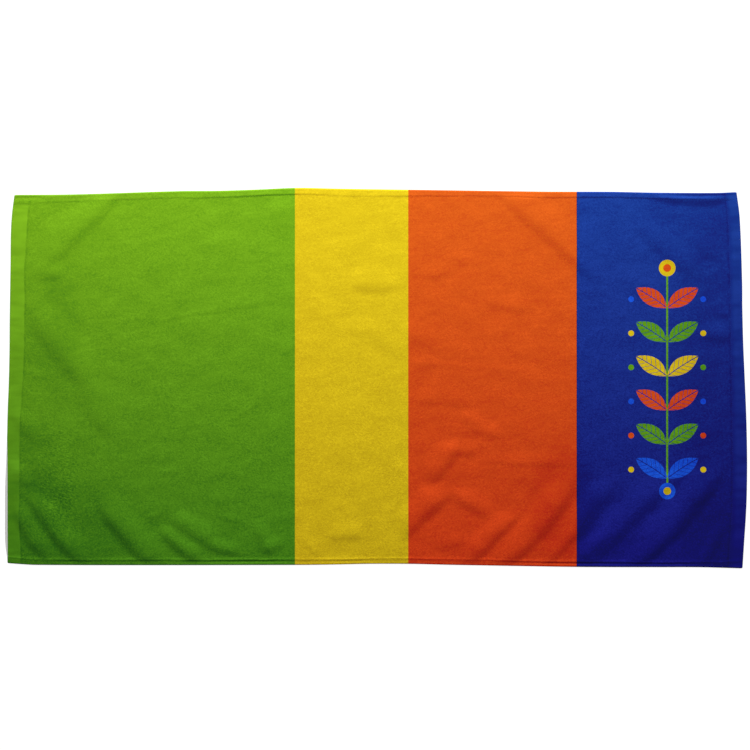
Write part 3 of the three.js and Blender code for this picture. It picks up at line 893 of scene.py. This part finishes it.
def pile_tufts(n, y, red, green):
    """How low the pile's tufts lie, around 0: grain, soft patches, streaks and ripples."""
    swirl = n.ramp(n.noise(SWIRL_SIZE, 1.0), *SWIRL_BORDER)
    grains = [
        n.noise(GRAIN_SIZE, GRAIN_DETAIL, GRAIN_ROUGHNESS, turn, GRAIN_STRETCH)
        for turn in GRAIN_TURNS
    ]
    grain = n.uneven(n.blend(swirl, *grains), GRAIN_STRENGTH)
    orange = n.math("MULTIPLY", red, n.math("SUBTRACT", 1.0, green))
    nearer = n.math("MULTIPLY_ADD", y, -GRAIN_GROWTH, GRAIN_AT_MIDDLE)
    strength = n.math("MULTIPLY", nearer, n.math("MULTIPLY_ADD", orange, -CALM_ORANGE, 1.0))
    ripples = n.uneven(n.noise(*RIPPLE_NOISE), 1.0)
    layers = [n.uneven(n.noise(*layer[:-1]), layer[-1]) for layer in PILE_LAYERS]
    return n.total(
        n.math("MULTIPLY", grain, strength),
        n.math("MULTIPLY", ripples, patches(n, RIPPLES)),
        *layers,
    )


def painted_shade_and_tone(n, from_end, right, pile, tufts):
    """How much darker or lighter the dye is made, around 0.

    It is painted shade: darker where the cloth faces away from the far side's light and
    lighter where it faces it, darker in the end seams and in patches of painted shade. It is
    also the pile's own tone, darker where tufts lie low, and paler on the flat-woven hems.
    """
    # Painted shade on slopes facing away from the far side's light, painted highlight on those
    # facing it
    normal = n.xyz(n.add("NewGeometry").outputs["Normal"])
    slope_shade = n.math("MINIMUM", n.math("MULTIPLY", normal[1], -SLOPE_SHADE_SHARE), SLOPE_SHADE_LIMIT)
    slope_shade = n.math("MAXIMUM", slope_shade, SLOPE_HIGHLIGHT_LIMIT)
    # Painted shade in and beside the end seams' grooves
    in_seam = n.math("MULTIPLY", n.ramp(from_end, *SEAM_SHADE_STARTS), n.ramp(from_end, *SEAM_SHADE_STOPS))
    seam_shade_patches = n.ramp(n.noise(*SEAM_SHADE_NOISE), *SEAM_SHADE_BORDER)
    seam = n.math("MULTIPLY", in_seam, seam_shade_patches)
    seam = n.math("MULTIPLY", seam, n.blend(right, SEAM_SHADE_LEFT, SEAM_SHADE_RIGHT))
    worn = n.blend(right, 1.0, n.ramp(from_end, *RIGHT_WORN))
    rubbed = n.total(n.uneven(n.noise(*WORN_NOISE), WORN_STRENGTH), -WORN_PALER)
    on_hem = n.math("MULTIPLY_ADD", rubbed, worn, n.math("MULTIPLY", tufts, TUFTS_ON_HEM))
    # Painted shade from slopes, seams and patches, together with the pile's tone and the paler
    # hems
    return n.total(slope_shade, seam, n.blend(pile, on_hem, tufts), patches(n, PAINTED_SHADE_PATCHES))


def dye_with_painted_shade(n, dye, red, green, depth):
    """The dye made darker or lighter by painted shade and tone: richer if dark, greyer if bright,
    and never quite black.
    """
    deep, pale = n.math("MAXIMUM", depth, 0.0), n.math("MINIMUM", depth, 0.0)
    gamma = n.add("Gamma")
    n.put(gamma.inputs["Color"], dye)
    richer = n.math("MULTIPLY_ADD", pale, PALE_RICHER, 1.0)
    n.put(gamma.inputs["Gamma"], n.math("MULTIPLY_ADD", deep, DEEP_RICHER, richer))
    greyer = n.math("MULTIPLY_ADD", green, GREYER_BY_GREEN, GREYER)
    greyer = n.math("MULTIPLY_ADD", red, GREYER_BY_RED, greyer)
    dimmed = n.math("MULTIPLY_ADD", pale, PALE_BRIGHTER, n.math("MULTIPLY", deep, greyer))
    colour = n.mix(1.0, gamma.outputs[0], n.math("SUBTRACT", 1.0, dimmed), "MULTIPLY")
    return n.mix(1.0, colour, DEEPEST, "LIGHTEN")


def looped_white(n):
    """The unprinted back: white loops with greyer gaps between them."""
    loops = n.add("TexVoronoi")
    n.put(loops.inputs["Vector"], n.place(scale=LOOP_SHAPE))
    loops.inputs["Scale"].default_value = LOOPS_PER_MM
    return n.mix(loops.outputs["Distance"], LOOP_WHITE, LOOP_GAP)


def cloth_material():
    """Cotton terry: a printed velour face, flat-woven end hems and a white looped back."""
    n = Nodes("towel_terry")
    hem = n.add("Attribute", attribute_name="hem").outputs["Vector"]
    from_end, from_side, printed = n.xyz(hem)
    x, y, _ = n.xyz(n.place())
    right = n.ramp(x, -1.0, 1.0)
    # The end hems have no pile, but the far side's hem passes over the left one
    far_left = n.math("MULTIPLY", n.ramp(x, 1.0, -1.0), n.ramp(y, -1.0, 1.0))
    over_left = n.math("MULTIPLY", n.ramp(from_side, *SIDE_HEM_ENDS), far_left)
    pile = n.math("MAXIMUM", n.ramp(from_end, *PILE_BEGINS), over_left)

    dye = printed_colour_and_shade(n)
    red, green, _ = n.xyz(dye)
    tufts = pile_tufts(n, y, red, green)
    # The dye with painted shade on slopes, in the end seams and in patches, and with the pile's
    # tone
    colour = dye_with_painted_shade(n, dye, red, green, painted_shade_and_tone(n, from_end, right, pile, tufts))
    on_face = n.ramp(printed, 0.3, 0.7)
    n.put(n.shader.inputs["Base Color"], n.mix(on_face, looped_white(n), colour))
    n.shader.inputs["Roughness"].default_value = 0.95
    n.shader.inputs["Specular IOR Level"].default_value = 0.06
    n.shader.inputs["Sheen Weight"].default_value = 0.02
    n.shader.inputs["Sheen Roughness"].default_value = 0.6

    ribs = n.math("MULTIPLY", n.noise(*RIB_NOISE), RIB_SHARE)
    relief = n.blend(pile, ribs, n.math("MULTIPLY", tufts, -1.0))
    n.put(n.shader.inputs["Normal"], n.bump(relief, RELIEF * MM, RELIEF_STRENGTH))
    return n.material


def thread_material():
    """Matt twisted thread that took the print's colour, with its painted shade."""
    n = Nodes("hem_thread")
    gamma = n.add("Gamma")
    n.put(gamma.inputs["Color"], printed_colour_and_shade(n))
    twist = n.noise(*TWIST_NOISE)
    uneven = n.math("ADD", n.uneven(twist, TWIST_STRENGTH), TWIST_MIDDLE)
    n.put(gamma.inputs["Gamma"], uneven)
    n.put(n.shader.inputs["Base Color"], gamma.outputs[0])
    n.shader.inputs["Roughness"].default_value = 0.8
    n.shader.inputs["Specular IOR Level"].default_value = 0.15
    n.put(n.shader.inputs["Normal"], n.bump(twist, TWIST_RELIEF * MM, 0.5))
    return n.material


def add_piece(mesh, material):
    piece = bpy.data.objects.new(mesh.name, mesh)
    bpy.context.scene.collection.objects.link(piece)
    piece.data.materials.append(material)
    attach(piece, "root")
    return piece


def add_floor():
    """A plain pale surface under the towel."""
    mesh = bpy.data.meshes.new("floor")
    half = FLOOR_HALF
    corners = [(-half, -half, 0), (half, -half, 0), (half, half, 0), (-half, half, 0)]
    mesh.from_pydata(corners, [], [(0, 1, 2, 3)])
    floor = bpy.data.objects.new("floor", mesh)
    floor.location.z = -FLOOR_BELOW
    bpy.context.scene.collection.objects.link(floor)
    n = Nodes("floor_white")
    n.shader.inputs["Base Color"].default_value = (FLOOR_GREY, FLOOR_GREY, FLOOR_GREY, 1)
    n.shader.inputs["Roughness"].default_value = 0.9
    n.shader.inputs["Emission Color"].default_value = (1, 1, 1, 1)
    n.shader.inputs["Emission Strength"].default_value = FLOOR_GLOW
    mesh.materials.append(n.material)


def add_light():
    """A wide soft window of light from the far side, and a low even fill."""
    area = bpy.data.lights.new("key_light", "AREA")
    area.shape = "RECTANGLE"
    area.size, area.size_y = KEY_WIDTH, KEY_HEIGHT
    area.energy = KEY_POWER
    light = bpy.data.objects.new("key_light", area)
    light.location = KEY_PLACE
    aim = Vector(KEY_AIM) - light.location
    light.rotation_euler = aim.to_track_quat("-Z", "Y").to_euler()
    bpy.context.scene.collection.objects.link(light)
    world = bpy.data.worlds.new("fill")
    world.use_nodes = True
    background = world.node_tree.nodes["Background"]
    background.inputs["Color"].default_value = (1, 1, 1, 1)
    background.inputs["Strength"].default_value = FILL_STRENGTH
    bpy.context.scene.world = world


def add_camera():
    """Straight above, as the towel is seen from, with the long side level."""
    camera_data = bpy.data.cameras.new("camera")
    camera_data.lens = LENS
    camera_data.sensor_width = SENSOR
    camera = bpy.data.objects.new("camera", camera_data)
    camera.location = (VIEW_X, VIEW_Y, VIEW_WIDTH * LENS / SENSOR)
    bpy.context.scene.collection.objects.link(camera)
    bpy.context.scene.camera = camera
    bpy.context.scene.view_settings.view_transform = "Standard"


add_camera()
add_light()
add_floor()
cloth, to_place = cloth_mesh()
towel_cloth = add_piece(cloth, cloth_material())
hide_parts("towel")
hem_stitches = add_piece(stitch_mesh(to_place), thread_material())
